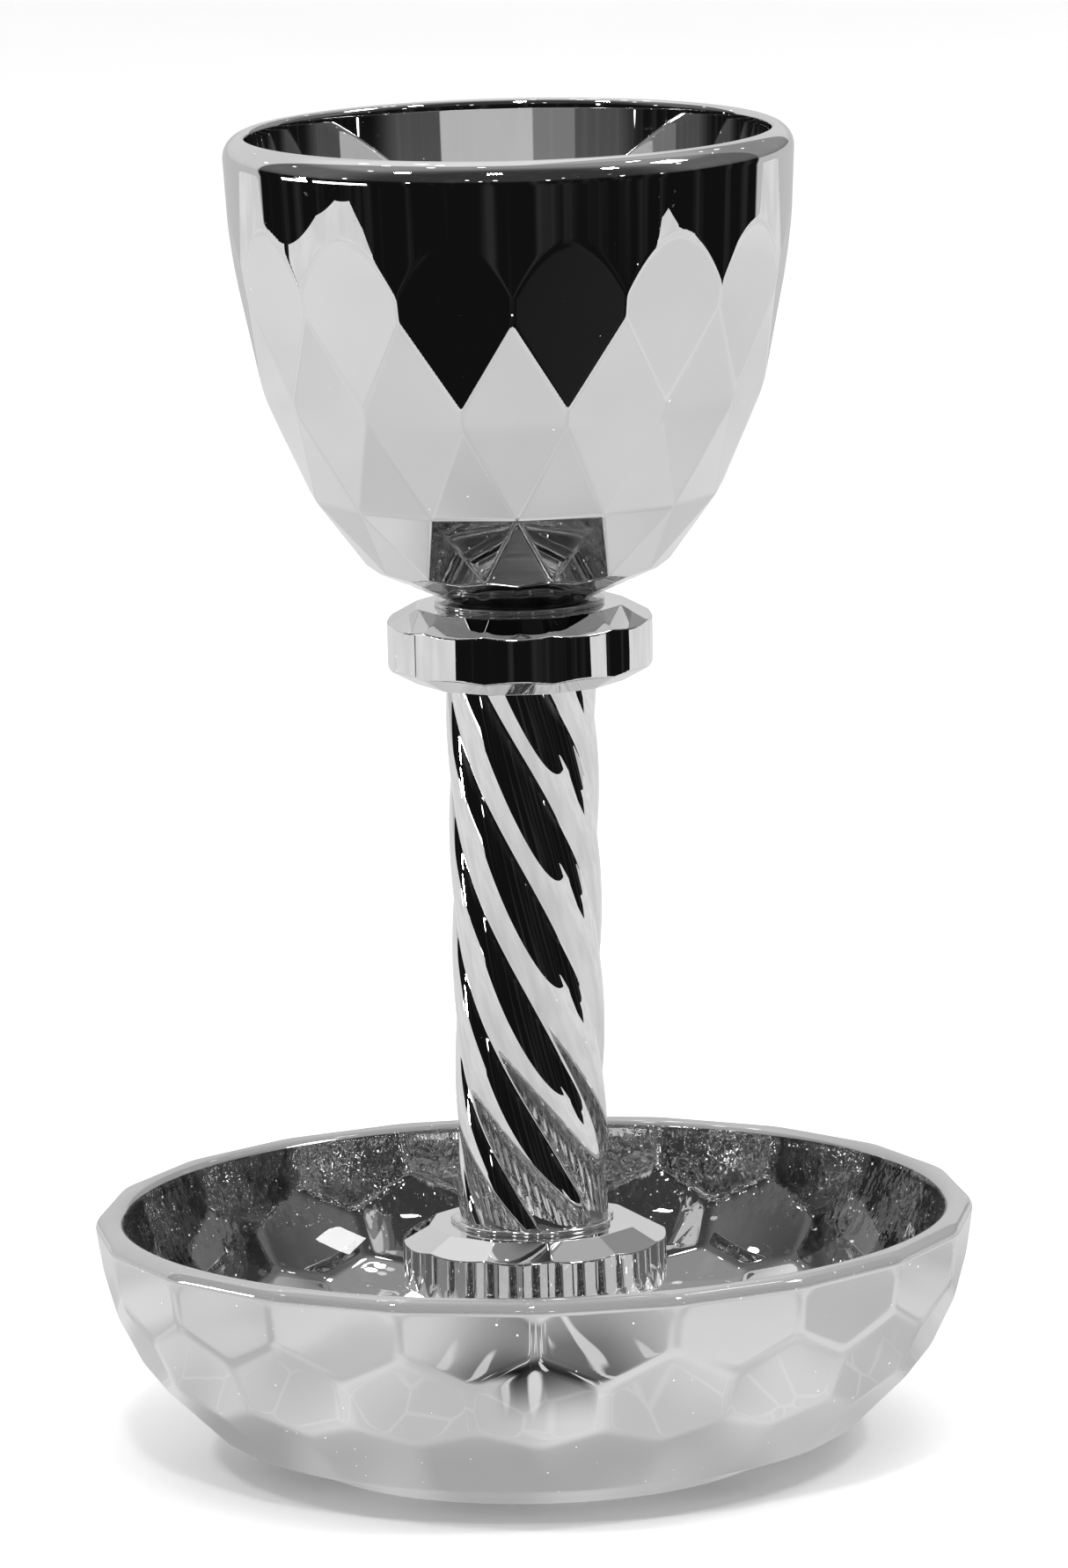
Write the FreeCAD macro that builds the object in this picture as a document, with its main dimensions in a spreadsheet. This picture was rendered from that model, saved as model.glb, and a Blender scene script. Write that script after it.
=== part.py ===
"""Faceted goblet on a twisted stem, standing on the boss of a honeycomb-cut dish.

Millimetres, +Z up.  The origin is the centre of the dish's flat base, and
every piece shares the one upright axis.  From the bottom up: dish, film of
glue, foot disc, bead of glue, stem, film of glue, collar, ring of glue, cup.
"""

import FreeCAD
import Part
import Sketcher
import math
import os

# Driving dimensions, in millimetres.  A slope is millimetres out per millimetre up.
SIZES = {
    # Dish: three rows of flat cuts round a thick shallow bowl.
    "dish_height": 37.0,
    "dish_outer_radius": 65.0,
    "dish_inner_radius": 60.4,
    "dish_rim_roundness": 1.9,
    "dish_base_radius": 34.5,
    "dish_base_ring_radius": 40.0,
    "dish_base_ring_height": 2.3,
    "dish_underside_radius": 48.4,
    "dish_underside_height": 5.3,
    "dish_floor_height": 8.5,
    "dish_floor_radius": 25.7,
    "dish_wall_foot_radius": 45.7,
    "dish_wall_foot_height": 14.8,
    "dish_floor_bend": 35.0,
    "dish_wall_bend": 40.0,
    "dish_boss_height": 23.15,
    "dish_boss_radius": 15.6,
    "dish_boss_foot_radius": 19.0,
    "dish_corner_height": 28.1,
    "dish_corner_radius": 63.9,
    "dish_low_corner_height": 13.7,
    "dish_low_corner_radius": 56.8,
    "dish_low_row_slope": 1.02,
    # Foot disc and collar: the same bevelled disc twice.
    "disc_radius": 19.45,
    "disc_height": 11.2,
    "disc_bevel_height": 2.45,
    "disc_flat_distance": 15.07,
    # Stem: seven rounded lobes with a left-hand twist.
    "stem_radius": 11.2,
    "stem_lobe_radius": 6.4,
    "stem_valley_radius": 10.32,
    "stem_length": 80.45,
    "stem_pitch": 120.0,
    # Glue between the pieces.
    "glue_film": 0.25,
    "glue_film_radius": 14.6,
    "collar_film_radius": 10.2,
    "bead_height": 0.6,
    "bead_radius": 11.9,
    "ring_height": 0.7,
    "ring_radius": 12.5,
    # Cup: rings of corners between its rows of cuts.
    "cup_height": 68.95,
    "cup_rim_radius": 41.55,
    "cup_shoulder_radius": 40.5,
    "cup_shoulder_height": 47.9,
    "cup_wall": 3.3,
    "cup_lip_depth": 3.15,
    "cup_lip_run": 2.3,
    "cup_lip_radius": 3.3,
    "cup_lip_inner_roundness": 0.8,
    "kite_top_height": 56.6,
    "kite_top_distance": 41.0,
    "kite_tip_height": 33.1,
    "kite_tip_distance": 36.95,
    "house_top_height": 45.8,
    "house_top_distance": 40.02,
    "upper_ring_height": 30.3,
    "upper_ring_radius": 36.2,
    "middle_ring_height": 16.1,
    "middle_ring_radius": 30.5,
    "lower_ring_height": 5.6,
    "lower_ring_radius": 22.2,
    "underside_height": 3.2,
    "underside_radius": 16.9,
    "neck_radius": 12.2,
    "bowl_floor_height": 12.5,
    "bowl_floor_radius": 9.0,
    "bowl_middle_radius": 26.3,
    "bowl_middle_height": 19.3,
    "bowl_upper_radius": 32.6,
    "bowl_upper_height": 31.3,
    "bowl_high_radius": 36.5,
    "bowl_high_height": 44.5,
    "bowl_floor_bend": 20.0,
    "bowl_middle_bend": 52.0,
    "bowl_upper_bend": 78.0,
    "bowl_high_bend": 600.0,
}

DISH_SIDES = 20
DISC_SIDES = 12
CUP_SIDES = 15
STEM_LOBES = 7

# The front of the vessel faces -Y, and angles are counted from there.
FRONT = -90.0
# Turn of the collar's and the foot disc's bevel corners from the front.
COLLAR_TURN = 14.0
FOOT_DISC_TURN = 7.0
# Turn of one of the stem's valleys from the front, at the stem's foot.
STEM_TURN = 2.0


class Size:
    """A size from the sheet, or a sum of them: its number and its expression."""

    def __init__(self, number, text):
        self.number = number
        self.text = text

    def __add__(self, other):
        other = as_size(other)
        return Size(self.number + other.number, f"({self.text} + {other.text})")

    def __sub__(self, other):
        other = as_size(other)
        return Size(self.number - other.number, f"({self.text} - {other.text})")

    def __mul__(self, other):
        other = as_size(other)
        return Size(self.number * other.number, f"({self.text} * {other.text})")

    def __truediv__(self, other):
        other = as_size(other)
        return Size(self.number / other.number, f"({self.text} / {other.text})")


def as_size(value):
    """Return a plain number as a Size, and a Size as it is."""
    if isinstance(value, Size):
        return value
    return Size(float(value), f"{float(value):.9f}")


def size(alias):
    """Return the sheet's size of that name."""
    return Size(SIZES[alias], f"Sizes.{alias}")


def make_sheet(doc):
    """Write every driving dimension into the document's spreadsheet."""
    sheet = doc.addObject("Spreadsheet::Sheet", "Sizes")
    for row, (alias, value) in enumerate(SIZES.items(), start=1):
        sheet.set(f"A{row}", alias.replace("_", " "))
        sheet.set(f"B{row}", str(value))
        sheet.setAlias(f"B{row}", alias)
    return sheet


# --- Sketches and bodies ---------------------------------------------------

def origin_plane(body, role):
    """Find one of a body's own origin planes."""
    for feature in body.Origin.OriginFeatures:
        if feature.Role == role:
            return feature
    raise ValueError(role)


def new_sketch(body, name, role):
    """Add a sketch to a body, flat on one of its origin planes."""
    sketch = body.newObject("Sketcher::SketchObject", name)
    sketch.AttachmentSupport = [(origin_plane(body, role), "")]
    sketch.MapMode = "FlatFace"
    return sketch


def pin_point(sketch, item, end, across, along):
    """Hold one end of a sketch line at its distances from the two axes."""
    for kind, axis, distance in (("DistanceX", -2, across), ("DistanceY", -1, along)):
        if abs(distance.number) < 1e-9:
            sketch.addConstraint(Sketcher.Constraint("PointOnObject", item, end, axis))
            continue
        start = Sketcher.Constraint(kind, -1, 1, item, end, distance.number)
        index = sketch.addConstraint(start)
        sketch.setExpression(f"Constraints[{index}]", distance.text)


def arc_through(start, end, radius, left_side):
    """Return the arc from start to end that bulges to one side of its chord."""
    chord = end - start
    half = chord.Length / 2
    side = FreeCAD.Vector(-chord.y, chord.x, 0).normalize()
    if not left_side:
        side = side * -1
    depth = math.sqrt(radius * radius - half * half)
    centre = (start + end) * 0.5 - side * depth
    middle = centre + side * radius
    return Part.Arc(start, middle, end)


def draw_outline(sketch, corners):
    """Draw a closed outline.

    Each corner is (across, along) for a straight side that leaves it, or
    (across, along, radius, left_side) for an arc that leaves it.
    """
    count = len(corners)
    points = [FreeCAD.Vector(c[0].number, c[1].number, 0) for c in corners]
    ends = []
    for index, corner in enumerate(corners):
        start = points[index]
        end = points[(index + 1) % count]
        if len(corner) == 2:
            sketch.addGeometry(Part.LineSegment(start, end), False)
            ends.append((1, 2))
            continue
        arc = arc_through(start, end, corner[2].number, corner[3])
        sketch.addGeometry(arc, False)
        begins_here = sketch.getPoint(index, 1).distanceToPoint(start) < 1e-6
        ends.append((1, 2) if begins_here else (2, 1))
    for index, corner in enumerate(corners):
        following = (index + 1) % count
        joint = Sketcher.Constraint(
            "Coincident", index, ends[index][1], following, ends[following][0])
        sketch.addConstraint(joint)
        pin_point(sketch, index, ends[index][0], corner[0], corner[1])
        if len(corner) == 4:
            radius = Sketcher.Constraint("Radius", index, corner[2].number)
            number = sketch.addConstraint(radius)
            sketch.setExpression(f"Constraints[{number}]", corner[2].text)


def turned_body(doc, name, corners):
    """Return a body turned about the upright axis from its half outline."""
    body = doc.addObject("PartDesign::Body", name)
    sketch = new_sketch(body, name + "_outline", "XZ_Plane")
    draw_outline(sketch, corners)
    turned = body.newObject("PartDesign::Revolution", name + "_turned")
    turned.Profile = sketch
    turned.ReferenceAxis = (sketch, ["V_Axis"])
    turned.Angle = 360.0
    body.Tip = turned
    return body


def plain_disc(doc, name, radius, height):
    """Return a thin round disc with a bulged edge, as squeezed glue sets."""
    zero = as_size(0)
    inner = radius - height * 0.5
    corners = [
        (zero, zero),
        (inner, zero, height * 0.6, False),
        (inner, height),
        (zero, height),
    ]
    return turned_body(doc, name, corners)


# --- Flat cuts -------------------------------------------------------------

def cutting_pyramid(doc, name, sides, face_turn, low, high):
    """Return a solid with equal flat sides that lean in or out.

    low and high are (height, distance of a face from the axis).  face_turn is
    the angle from the front to the middle of one face.
    """
    corner_angle = FRONT + face_turn + 180.0 / sides
    rings = []
    for end, (height, distance) in (("low", low), ("high", high)):
        ring = doc.addObject("Part::RegularPolygon", f"{name}_{end}")
        ring.Polygon = sides
        corner_radius = distance / math.cos(math.pi / sides)
        ring.setExpression("Circumradius", corner_radius.text)
        ring.Placement = FreeCAD.Placement(
            FreeCAD.Vector(0, 0, height.number),
            FreeCAD.Rotation(FreeCAD.Vector(0, 0, 1), corner_angle))
        ring.setExpression("Placement.Base.z", height.text)
        rings.append(ring)
    pyramid = doc.addObject("Part::Loft", name)
    pyramid.Sections = rings
    pyramid.Solid = True
    pyramid.Ruled = True
    return pyramid


def lean(first, second, height):
    """Return (height, distance) on the line through two such pairs."""
    slope = (second[1] - first[1]) / (second[0] - first[0])
    return (height, first[1] + slope * (height - first[0]))


def common_of(doc, name, shapes):
    """Return what all the shapes share, cut one after another."""
    result = shapes[0]
    for number, other in enumerate(shapes[1:], start=1):
        shared = doc.addObject("Part::Common", f"{name}_cut_{number}")
        shared.Base = result
        shared.Tool = other
        result = shared
    return result


# --- Dish ------------------------------------------------------------------

def make_dish(doc):
    """Thick shallow bowl with three rows of flat cuts and a round hollow."""
    zero = as_size(0)
    height = size("dish_height")
    outer = size("dish_outer_radius")
    inner = size("dish_inner_radius")
    round_off = size("dish_rim_roundness")
    half_side = math.pi / DISH_SIDES
    envelope = turned_body(doc, "dish_envelope", [
        (zero, zero),
        (size("dish_base_radius"), zero),
        (size("dish_base_ring_radius"), size("dish_base_ring_height")),
        (size("dish_underside_radius"), size("dish_underside_height")),
        (outer, size("dish_low_corner_height")),
        (outer, height - round_off, round_off * 1.05, False),
        (outer - round_off, height),
        (zero, height),
    ])
    top = height + 1
    rim_face = (height - round_off, outer * math.cos(half_side))
    corner_face = (size("dish_corner_height"), size("dish_corner_radius") * math.cos(half_side))
    upper = cutting_pyramid(
        doc, "dish_upper_row", DISH_SIDES, 180.0 / DISH_SIDES,
        lean(corner_face, rim_face, zero - 1), lean(corner_face, rim_face, top))
    corner = (size("dish_corner_height"), size("dish_corner_radius"))
    low_corner = (size("dish_low_corner_height"), size("dish_low_corner_radius"))
    middle = cutting_pyramid(
        doc, "dish_middle_row", DISH_SIDES, 0.0,
        lean(low_corner, corner, zero - 1), lean(low_corner, corner, top))
    low_face = (low_corner[0], low_corner[1] * math.cos(half_side))
    rise = size("dish_low_row_slope")
    lower = cutting_pyramid(
        doc, "dish_lower_row", DISH_SIDES, 180.0 / DISH_SIDES,
        (zero - 1, low_face[1] - rise * (low_face[0] + 1)),
        (top, low_face[1] + rise * (top - low_face[0])))
    outside = common_of(doc, "dish_outside", [envelope, upper, middle, lower])
    floor = size("dish_floor_height")
    lip = height - round_off
    # The hollow leaves a boss in its middle, which carries the foot disc.
    hollow = turned_body(doc, "dish_hollow", [
        (zero, size("dish_boss_height")),
        (size("dish_boss_radius"), size("dish_boss_height")),
        (size("dish_boss_foot_radius"), floor),
        (size("dish_floor_radius"), floor, size("dish_floor_bend"), False),
        (size("dish_wall_foot_radius"), size("dish_wall_foot_height"),
         size("dish_wall_bend"), False),
        (inner, lip, round_off * 1.05, True),
        (inner + round_off, height),
        (inner + round_off, height + 2),
        (zero, height + 2),
    ])
    dish = doc.addObject("Part::Cut", "dish")
    dish.Base = outside
    dish.Tool = hollow
    return dish


# --- Foot disc and collar --------------------------------------------------

def make_bevelled_disc(doc, name, turn):
    """Round disc with twelve flat bevels round its top and its bottom."""
    zero = as_size(0)
    height = size("disc_height")
    bevel = size("disc_bevel_height")
    radius = size("disc_radius")
    flat = size("disc_flat_distance")
    face_turn = turn + 180.0 / DISC_SIDES
    blank = doc.addObject("Part::Cylinder", name + "_blank")
    blank.setExpression("Radius", radius.text)
    blank.setExpression("Height", height.text)
    top_line = ((height - bevel, radius), (height, flat))
    bottom_line = ((bevel, radius), (zero, flat))
    top = cutting_pyramid(
        doc, name + "_top_bevel", DISC_SIDES, face_turn,
        lean(*top_line, zero - 1), top_line[1])
    bottom = cutting_pyramid(
        doc, name + "_bottom_bevel", DISC_SIDES, face_turn,
        bottom_line[1], lean(*bottom_line, height + 1))
    first = doc.addObject("Part::Common", name + "_top_cut")
    first.Base = blank
    first.Tool = top
    disc = doc.addObject("Part::Common", name)
    disc.Base = first
    disc.Tool = bottom
    return disc


# --- Stem ------------------------------------------------------------------

def make_stem(doc):
    """Seven-lobed rod with a steady left-hand twist."""
    length = size("stem_length")
    body = doc.addObject("PartDesign::Body", "stem")
    section = new_sketch(body, "stem_section", "XY_Plane")
    lobe = size("stem_lobe_radius")
    valley = size("stem_valley_radius")
    corners = []
    for number in range(STEM_LOBES):
        angle = math.radians(FRONT + STEM_TURN + number * 360.0 / STEM_LOBES)
        corners.append((valley * math.cos(angle), valley * math.sin(angle), lobe, False))
    draw_outline(section, corners)
    spine = new_sketch(body, "stem_axis", "XZ_Plane")
    spine.addGeometry(
        Part.LineSegment(FreeCAD.Vector(0, 0, 0), FreeCAD.Vector(0, length.number, 0)), False)
    spine.addConstraint(Sketcher.Constraint("Coincident", 0, 1, -1, 1))
    spine.addConstraint(Sketcher.Constraint("PointOnObject", 0, 2, -2))
    reach = spine.addConstraint(Sketcher.Constraint("DistanceY", 0, 1, 0, 2, length.number))
    spine.setExpression(f"Constraints[{reach}]", length.text)
    twist = doc.addObject("Part::Helix", "stem_twist")
    twist.setExpression("Pitch", size("stem_pitch").text)
    twist.setExpression("Height", length.text)
    twist.setExpression("Radius", size("stem_radius").text)
    twist.LocalCoord = "Left-handed"
    pipe = body.newObject("PartDesign::AdditivePipe", "stem_rod")
    pipe.Profile = section
    pipe.Spine = (spine, ["Edge1"])
    pipe.Mode = "Auxiliary"
    pipe.AuxiliarySpine = (twist, ["Edge1"])
    pipe.AuxiliaryCurvilinear = True
    body.Tip = pipe
    return body


# --- Cup -------------------------------------------------------------------

def make_cup(doc):
    """Deep bowl with seven rows of flat cuts and a smooth hollow."""
    zero = as_size(0)
    height = size("cup_height")
    rim = size("cup_rim_radius")
    wall = size("cup_wall")
    lip_run = size("cup_lip_run")
    lip_foot = height - size("cup_lip_depth")
    inner_round = size("cup_lip_inner_roundness")
    neck = size("neck_radius")
    half_side = math.pi / CUP_SIDES
    across = math.cos(half_side)
    half_turn = 180.0 / CUP_SIDES
    shoulder_radius = size("cup_shoulder_radius")
    shoulder_height = size("cup_shoulder_height")
    envelope = turned_body(doc, "cup_envelope", [
        (zero, zero),
        (neck, zero),
        (size("underside_radius"), size("underside_height")),
        (shoulder_radius, size("lower_ring_height")),
        (shoulder_radius, shoulder_height),
        (rim, lip_foot, size("cup_lip_radius"), False),
        (rim - lip_run, height),
        (zero, height),
    ])
    upper = (size("upper_ring_height"), size("upper_ring_radius"))
    middle = (size("middle_ring_height"), size("middle_ring_radius"))
    lower = (size("lower_ring_height"), size("lower_ring_radius"))
    kite_tip = (size("kite_tip_height"), size("kite_tip_distance"))
    house_top = (size("house_top_height"), size("house_top_distance"))
    underside = (size("underside_height"), size("underside_radius"))
    upper_face = (upper[0], upper[1] * across)
    middle_face = (middle[0], middle[1] * across)
    lower_face = (lower[0], lower[1] * across)
    rows = [
        ("cup_kites", half_turn, (kite_tip, (size("kite_top_height"), size("kite_top_distance")))),
        ("cup_houses", 0.0, (upper_face, house_top)),
        ("cup_upper_darts", 0.0, (middle, upper_face)),
        ("cup_upper_peaks", half_turn, (middle_face, upper)),
        ("cup_lower_darts", half_turn, (lower, middle_face)),
        ("cup_lower_peaks", 0.0, (lower_face, middle)),
        ("cup_underside", half_turn, (underside, lower)),
    ]
    cuts = [envelope]
    for name, turn, line in rows:
        cuts.append(cutting_pyramid(
            doc, name, CUP_SIDES, turn, lean(*line, zero), lean(*line, height + 1)))
    outside = common_of(doc, "cup_outside", cuts)
    inner = rim - wall
    hollow = turned_body(doc, "cup_hollow", [
        (zero, size("bowl_floor_height")),
        (size("bowl_floor_radius"), size("bowl_floor_height"), size("bowl_floor_bend"), False),
        (size("bowl_middle_radius"), size("bowl_middle_height"), size("bowl_middle_bend"), False),
        (size("bowl_upper_radius"), size("bowl_upper_height"), size("bowl_upper_bend"), False),
        (size("bowl_high_radius"), size("bowl_high_height"), size("bowl_high_bend"), False),
        (inner, height - inner_round, inner_round * 1.05, True),
        (inner + inner_round, height),
        (inner + inner_round, height + 2),
        (zero, height + 2),
    ])
    cup = doc.addObject("Part::Cut", "cup")
    cup.Base = outside
    cup.Tool = hollow
    return cup


# --- Assembly --------------------------------------------------------------

def stack(doc):
    """Make every piece and stand it at its height on the upright axis."""
    disc_height = size("disc_height")
    film = size("glue_film")
    levels = [
        ("dish", make_dish(doc), as_size(0)),
    ]
    level = size("dish_boss_height")
    foot_film = plain_disc(doc, "foot_glue_film", size("glue_film_radius"), film)
    levels.append(("foot_glue_film", foot_film, level))
    level = level + film
    foot_disc = make_bevelled_disc(doc, "foot_disc", FOOT_DISC_TURN)
    levels.append(("foot_disc", foot_disc, level))
    level = level + disc_height
    bead = plain_disc(doc, "stem_glue_bead", size("bead_radius"), size("bead_height"))
    levels.append(("stem_glue_bead", bead, level))
    level = level + size("bead_height")
    levels.append(("stem", make_stem(doc), level))
    level = level + size("stem_length")
    collar_film = plain_disc(doc, "collar_glue_film", size("collar_film_radius"), film)
    levels.append(("collar_glue_film", collar_film, level))
    level = level + film
    collar = make_bevelled_disc(doc, "collar", COLLAR_TURN)
    levels.append(("collar", collar, level))
    level = level + disc_height
    ring = plain_disc(doc, "cup_glue_ring", size("ring_radius"), size("ring_height"))
    levels.append(("cup_glue_ring", ring, level))
    level = level + size("ring_height")
    levels.append(("cup", make_cup(doc), level))
    pieces = []
    for label, piece, height in levels:
        piece.Label = label
        piece.setExpression("Placement.Base.z", height.text)
        pieces.append(piece)
    return pieces


def check_document(doc, pieces):
    """Stop if any object failed or any piece's shape is missing or broken."""
    for thing in doc.Objects:
        if "Invalid" in thing.State or "Error" in thing.State:
            raise RuntimeError(f"{thing.Name} failed: {thing.State}")
    for piece in pieces:
        shape = piece.Shape
        if shape.isNull() or not shape.isValid():
            raise RuntimeError(f"{piece.Label} has no valid shape")
        if len(shape.Solids) != 1:
            raise RuntimeError(f"{piece.Label} has {len(shape.Solids)} solids")
        box = shape.BoundBox
        print(f"{piece.Label:18s} z {box.ZMin:8.3f} to {box.ZMax:8.3f}"
              f"  width {box.XLength:8.3f}  volume {shape.Volume:11.1f}")


def main():
    """Build the document and write each piece to its own file."""
    doc = FreeCAD.newDocument("goblet")
    make_sheet(doc)
    pieces = stack(doc)
    doc.recompute()
    check_document(doc, pieces)
    os.makedirs("parts", exist_ok=True)
    for piece in pieces:
        piece.Shape.exportStep(f"parts/{piece.Label}.step")


main()
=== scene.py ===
"""Silvered goblet on a twisted stem, in a honeycomb-cut glass dish.

Lengths are in millimetres until a mesh is made, and then in metres.  Angles
are in degrees, counted from the front (-Y) towards +X.
"""

import math

import bpy
import numpy as np
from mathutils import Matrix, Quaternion, Vector


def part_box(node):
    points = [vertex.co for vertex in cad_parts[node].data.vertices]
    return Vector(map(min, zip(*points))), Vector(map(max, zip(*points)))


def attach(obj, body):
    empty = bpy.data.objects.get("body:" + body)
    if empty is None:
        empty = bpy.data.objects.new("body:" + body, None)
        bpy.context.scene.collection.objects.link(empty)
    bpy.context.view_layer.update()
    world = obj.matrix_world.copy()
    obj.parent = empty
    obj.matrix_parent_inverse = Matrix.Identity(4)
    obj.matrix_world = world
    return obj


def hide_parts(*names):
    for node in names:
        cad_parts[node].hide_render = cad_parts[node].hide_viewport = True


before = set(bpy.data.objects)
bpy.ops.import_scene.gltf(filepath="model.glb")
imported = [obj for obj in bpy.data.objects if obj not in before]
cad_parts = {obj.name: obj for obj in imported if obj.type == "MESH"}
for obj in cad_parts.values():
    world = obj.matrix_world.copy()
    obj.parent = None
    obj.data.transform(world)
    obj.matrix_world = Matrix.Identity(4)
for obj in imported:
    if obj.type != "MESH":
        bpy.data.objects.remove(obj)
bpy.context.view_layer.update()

MM = 0.001


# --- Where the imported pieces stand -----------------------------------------

def span(node):
    """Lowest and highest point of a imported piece, in millimetres."""
    low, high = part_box(node)
    return low.z / MM, high.z / MM


def reach(node):
    """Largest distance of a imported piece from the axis, in millimetres."""
    low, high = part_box(node)
    return max(-low.x, high.x) / MM


# --- Mesh building ---------------------------------------------------------

def round_mesh(name, radius, height, angle, materials, bands=None):
    """Make a closed mesh from rings of points that run round the axis.

    radius, height and angle are arrays of [ring, column].  The first ring and
    the last are closed by a point on the axis.  bands lists (first ring,
    material number) pairs for the rings of faces.
    """
    rings, columns = radius.shape
    turn = np.radians(angle)
    points = np.stack(
        [radius * np.sin(turn), -radius * np.cos(turn), height], -1) * MM
    ends = np.array([[0, 0, height[0].mean()], [0, 0, height[-1].mean()]]) * MM
    points = np.concatenate([points.reshape(-1, 3), ends])
    here = np.arange(columns)
    following = (here + 1) % columns
    ring = np.arange(rings - 1)[:, None] * columns
    quads = np.stack(
        [ring + here, ring + following, ring + columns + following, ring + columns + here],
        -1).reshape(-1, 4)
    bottom = np.stack(
        [np.full(columns, rings * columns), following, here], -1)
    last = (rings - 1) * columns
    top = np.stack(
        [np.full(columns, rings * columns + 1), last + here, last + following], -1)
    corners = np.concatenate([quads.ravel(), bottom.ravel(), top.ravel()])
    sizes = np.concatenate([np.full(len(quads), 4), np.full(2 * columns, 3)])
    starts = np.concatenate([[0], np.cumsum(sizes)[:-1]])
    mesh = bpy.data.meshes.new(name)
    mesh.vertices.add(len(points))
    mesh.vertices.foreach_set("co", points.astype(np.float32).ravel())
    mesh.loops.add(len(corners))
    mesh.loops.foreach_set("vertex_index", corners.astype(np.int32))
    mesh.polygons.add(len(sizes))
    mesh.polygons.foreach_set("loop_start", starts.astype(np.int32))
    mesh.polygons.foreach_set("use_smooth", np.ones(len(sizes), bool))
    for material in materials:
        mesh.materials.append(material)
    if bands:
        chosen = np.zeros(len(sizes), np.int32)
        for first_ring, number in bands:
            chosen[first_ring * columns:len(quads)] = number
            chosen[len(quads) + columns:] = number
            if first_ring == 0:
                chosen[len(quads):] = number
        mesh.polygons.foreach_set("material_index", chosen)
    mesh.update(calc_edges=True)
    mesh.validate()
    made = bpy.data.objects.new(name, mesh)
    bpy.context.scene.collection.objects.link(made)
    return made


def stand_in(piece, node):
    """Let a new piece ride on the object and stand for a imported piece."""
    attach(piece, "root")
    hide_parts(node)
    return piece


# --- Flat cuts -------------------------------------------------------------

def soft_min(first, second, width):
    """Smaller of two values, with the corner between them rounded off."""
    share = np.clip(0.5 + 0.5 * (second - first) / width, 0, 1)
    return second * (1 - share) + first * share - width * share * (1 - share)


def soft_max(first, second, width):
    """Larger of two values, with the corner between them rounded off."""
    return -soft_min(-first, -second, width)


class Cuts:
    """A row of equal flat cuts round the axis.

    low and high are (height, distance of the cut from the axis), and turn is
    the angle of the middle of one cut.
    """

    def __init__(self, sides, turn, low, high):
        self.half = math.pi / sides
        self.turn = turn
        self.slope = (high[1] - low[1]) / (high[0] - low[0])
        self.base = low[1] - self.slope * low[0]

    def radius(self, angle, height, edge):
        """Distance from the axis to the cuts at that angle and height."""
        step = 2 * self.half
        off = np.mod(np.radians(angle - self.turn) + self.half, step) - self.half
        distance = self.base + self.slope * height
        here = distance / np.cos(off)
        beside = distance / np.cos(step - np.abs(off))
        return soft_min(here, beside, edge)


def carve(envelope, rows, angle, height, edge):
    """Radius left after every row of cuts, with edges rounded off by edge."""
    left = envelope
    for row in rows:
        left = soft_min(left, row.radius(angle, height, edge), edge)
    return left


def even_heights(radius_at, low, high, step):
    """Heights from low to high, about one step apart along the outline."""
    fine = np.linspace(low, high, 6000)
    across = radius_at(fine)
    along = np.concatenate([[0], np.cumsum(np.hypot(np.diff(fine), np.diff(across)))])
    count = int(along[-1] / step)
    return np.interp(np.linspace(0, along[-1], count), along, fine)


def arc(start, end, radius, left_side, count):
    """Points on the arc from start to end that bulges to one side."""
    start = np.array(start, float)
    end = np.array(end, float)
    chord = end - start
    half = np.hypot(*chord) / 2
    side = np.array([-chord[1], chord[0]]) / (2 * half)
    if not left_side:
        side = -side
    centre = (start + end) / 2 - side * math.sqrt(radius ** 2 - half ** 2)
    first = math.atan2(*(start - centre)[::-1])
    last = math.atan2(*(end - centre)[::-1])
    sweep = (last - first + math.pi) % (2 * math.pi) - math.pi
    turn = first + sweep * np.linspace(0, 1, count)
    return np.stack([centre[0] + radius * np.cos(turn),
                     centre[1] + radius * np.sin(turn)], -1)


def chain(start, stretches):
    """Arcs joined end to end, without their start.

    Each stretch is (end, radius, left_side, count), as arc() takes them.
    """
    joined = []
    for end, radius, left_side, count in stretches:
        joined.append(arc(start, end, radius, left_side, count)[1:])
        start = end
    return np.concatenate(joined)


def flat_run(radii, height):
    """Points at one height, at those distances from the axis."""
    return np.array([(radius, height) for radius in radii])


# --- Cup -------------------------------------------------------------------

CUP_SIDES = 15
CUP_COLUMNS = 720
CUP_STEP = 0.36
CUP_EDGE = 0.07
CUP_RIM_RADIUS = 41.55
CUP_WALL = 3.3
LIP_DEPTH = 3.15
LIP_RUN = 2.3
LIP_RADIUS = 3.3
LIP_INNER = 0.8
# How much the smooth band narrows on its way down from the lip.
BAND_TAPER = 0.0507
BAND_BEND = 0.0003
SHOULDER_RADIUS = 40.5
SHOULDER_HEIGHT = 30.0
NECK_RADIUS = 12.2
# (height, distance from the axis)
UNDERSIDE = (3.2, 16.9)
LOWER_RING = (5.6, 22.2)
CUP_FLOOR = 12.5


def cup_cuts():
    """Seven rows of cuts from the kites under the smooth band to the neck."""
    across = math.cos(math.pi / CUP_SIDES)
    turned = 180.0 / CUP_SIDES
    kite_top = (56.6, 41.0)
    kite_tip = (33.1, 36.95)
    house_top = (45.8, 40.02)
    upper = (30.3, 36.2)
    middle = (16.1, 30.5)

    def face(ring):
        return (ring[0], ring[1] * across)

    lines = [
        (turned, kite_tip, kite_top),
        (0.0, face(upper), house_top),
        (0.0, middle, face(upper)),
        (turned, face(middle), upper),
        (turned, LOWER_RING, face(middle)),
        (0.0, face(LOWER_RING), middle),
        (turned, UNDERSIDE, LOWER_RING),
    ]
    return [Cuts(CUP_SIDES, turn, low, high) for turn, low, high in lines]


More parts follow.
